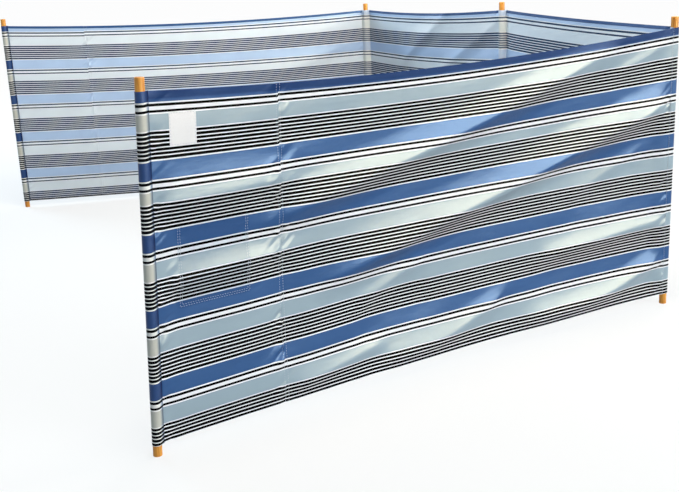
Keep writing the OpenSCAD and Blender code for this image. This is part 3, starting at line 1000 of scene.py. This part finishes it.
def floor_material():
    """Pale floor that shows as white with a soft shadow, and throws back less light than it shows."""
    material, nodes, links, shader = new_material("pale_floor")
    seen = seen_by(nodes, links)
    pale = nodes.new("ShaderNodeMix")
    pale.data_type = "RGBA"
    pale.inputs["A"].default_value = FLOOR_BOUNCE
    pale.inputs["B"].default_value = FLOOR_SEEN
    links.new(seen, pale.inputs["Factor"])
    links.new(pale.outputs["Result"], shader.inputs["Base Color"])
    shader.inputs["Roughness"].default_value = 1.0
    shader.inputs["Specular IOR Level"].default_value = 0.0
    glow = nodes.new("ShaderNodeEmission")
    glow.inputs["Strength"].default_value = 1.0
    blend = nodes.new("ShaderNodeMixShader")
    place = nodes.new("ShaderNodeNewGeometry")
    reach = nodes.new("ShaderNodeVectorMath")
    reach.operation = "LENGTH"
    links.new(place.outputs["Position"], reach.inputs[0])
    share = nodes.new("ShaderNodeMapRange")
    share.inputs["From Min"].default_value = WHITE_NEAR
    share.inputs["From Max"].default_value = WHITE_FAR
    share.inputs["To Min"].default_value = WHITE_NEAR_SHARE
    share.inputs["To Max"].default_value = WHITE_FAR_SHARE
    links.new(reach.outputs["Value"], share.inputs["Value"])
    links.new(math_node(nodes, links, "MULTIPLY", seen, share.outputs[0]), blend.inputs[0])
    links.new(shader.outputs[0], blend.inputs[1])
    links.new(glow.outputs[0], blend.inputs[2])
    links.new(blend.outputs[0], nodes["Material Output"].inputs["Surface"])
    return material


floor_mesh.materials.append(floor_material())

FILL_LOW, FILL_HIGH = 0.28, 0.62
FILL_TINT = (0.72, 0.89, 1.0, 1)


def studio_world():
    """A soft dome of light, brighter overhead, that the camera sees as plain white."""
    world = bpy.data.worlds.new("studio")
    world.use_nodes = True
    nodes, links = world.node_tree.nodes, world.node_tree.links
    place = nodes.new("ShaderNodeTexCoord")
    parts = nodes.new("ShaderNodeSeparateXYZ")
    links.new(place.outputs["Generated"], parts.inputs[0])
    dome = nodes.new("ShaderNodeMapRange")
    dome.inputs["To Min"].default_value = FILL_LOW
    dome.inputs["To Max"].default_value = FILL_HIGH
    links.new(parts.outputs["Z"], dome.inputs["Value"])
    fill = nodes["Background"]
    fill.inputs["Color"].default_value = FILL_TINT
    links.new(dome.outputs[0], fill.inputs["Strength"])
    white = nodes.new("ShaderNodeBackground")
    white.inputs["Color"].default_value = (1, 1, 1, 1)
    blend = nodes.new("ShaderNodeMixShader")
    links.new(seen_by(nodes, links), blend.inputs[0])
    links.new(fill.outputs[0], blend.inputs[1])
    links.new(white.outputs[0], blend.inputs[2])
    links.new(blend.outputs[0], nodes["World Output"].inputs["Surface"])
    return world


scene.world = studio_world()


def area_lamp(name, place, target, size, power, tint):
    """A rectangular lamp that faces its target and that the camera doesn't see."""
    light = bpy.data.lights.new(name, "AREA")
    light.color = tint
    light.shape = "RECTANGLE"
    light.size, light.size_y = size
    light.energy = power
    lamp = bpy.data.objects.new(name, light)
    lamp.visible_camera = False
    lamp.location = place
    lamp.rotation_euler = (Vector(target) - Vector(place)).to_track_quat("-Z", "Y").to_euler()
    scene.collection.objects.link(lamp)
    return lamp


# How far along the way from its target to its softbox a sheen lamp stands
SHEEN_AT = 0.97


def softbox(name, place, target, size, power, tint, sheen_power, sheen_tint):
    """A lamp in two layers: one lights the cloth, and one just before it shows only in the cloth's sheen."""
    area_lamp(name, place, target, size, power, tint).visible_glossy = False
    before = Vector(target).lerp(Vector(place), SHEEN_AT)
    area_lamp(name + "_sheen", before, target, size, sheen_power, sheen_tint).visible_diffuse = False


WARM, COOL, PLAIN = (1.0, 0.96, 0.88), (0.55, 0.8, 1.0), (1.0, 0.985, 0.955)
CREAM, AMBER = (1.0, 0.86, 0.56), (1.0, 0.87, 0.7)
area_lamp("key", place=(22.0, 1.0, 18.0), target=(0.0, -0.8, 0.4), size=(9.0, 9.0), power=900, tint=WARM)
softbox(
    "right_softbox", place=(7.9, 4.1, 3.0), target=(1.35, -1.0, 0.5), size=(7.0, 4.0),
    power=575, tint=PLAIN, sheen_power=1260, sheen_tint=CREAM,
)
area_lamp(
    "shelter_lamp", place=(1.2, -0.5, 3.0), target=(-1.35, -0.9, 0.5), size=(1.4, 1.4), power=72, tint=AMBER,
)
softbox(
    "left_softbox", place=(-5.9, -4.0, 2.6), target=(-0.4, -0.5, 0.5), size=(2.4, 2.4),
    power=245, tint=COOL, sheen_power=190, sheen_tint=PLAIN,
)
area_lamp(
    "back_softbox", place=(-4.5, 6.0, 5.5), target=(0.0, -0.5, 0.5), size=(4.0, 4.0), power=200, tint=WARM,
)

camera_data = bpy.data.cameras.new("camera")
camera_data.sensor_width = SENSOR
camera_data.lens = SENSOR * FOCAL_PX / PHOTO_WIDTH
camera = bpy.data.objects.new("camera", camera_data)
scene.collection.objects.link(camera)
scene.camera = camera
turn, down, roll = (math.radians(angle) for angle in (CAMERA_HEADING, CAMERA_DOWN, CAMERA_ROLL))
forward = Vector((math.cos(turn) * math.cos(down), math.sin(turn) * math.cos(down), -math.sin(down)))
level_right = Vector((math.sin(turn), -math.cos(turn), 0))
level_up = level_right.cross(forward)
right = level_right * math.cos(roll) - level_up * math.sin(roll)
up = level_right * math.sin(roll) + level_up * math.cos(roll)
camera.matrix_world = Matrix.Translation(CAMERA_AT) @ Matrix((right, up, -forward)).transposed().to_4x4()
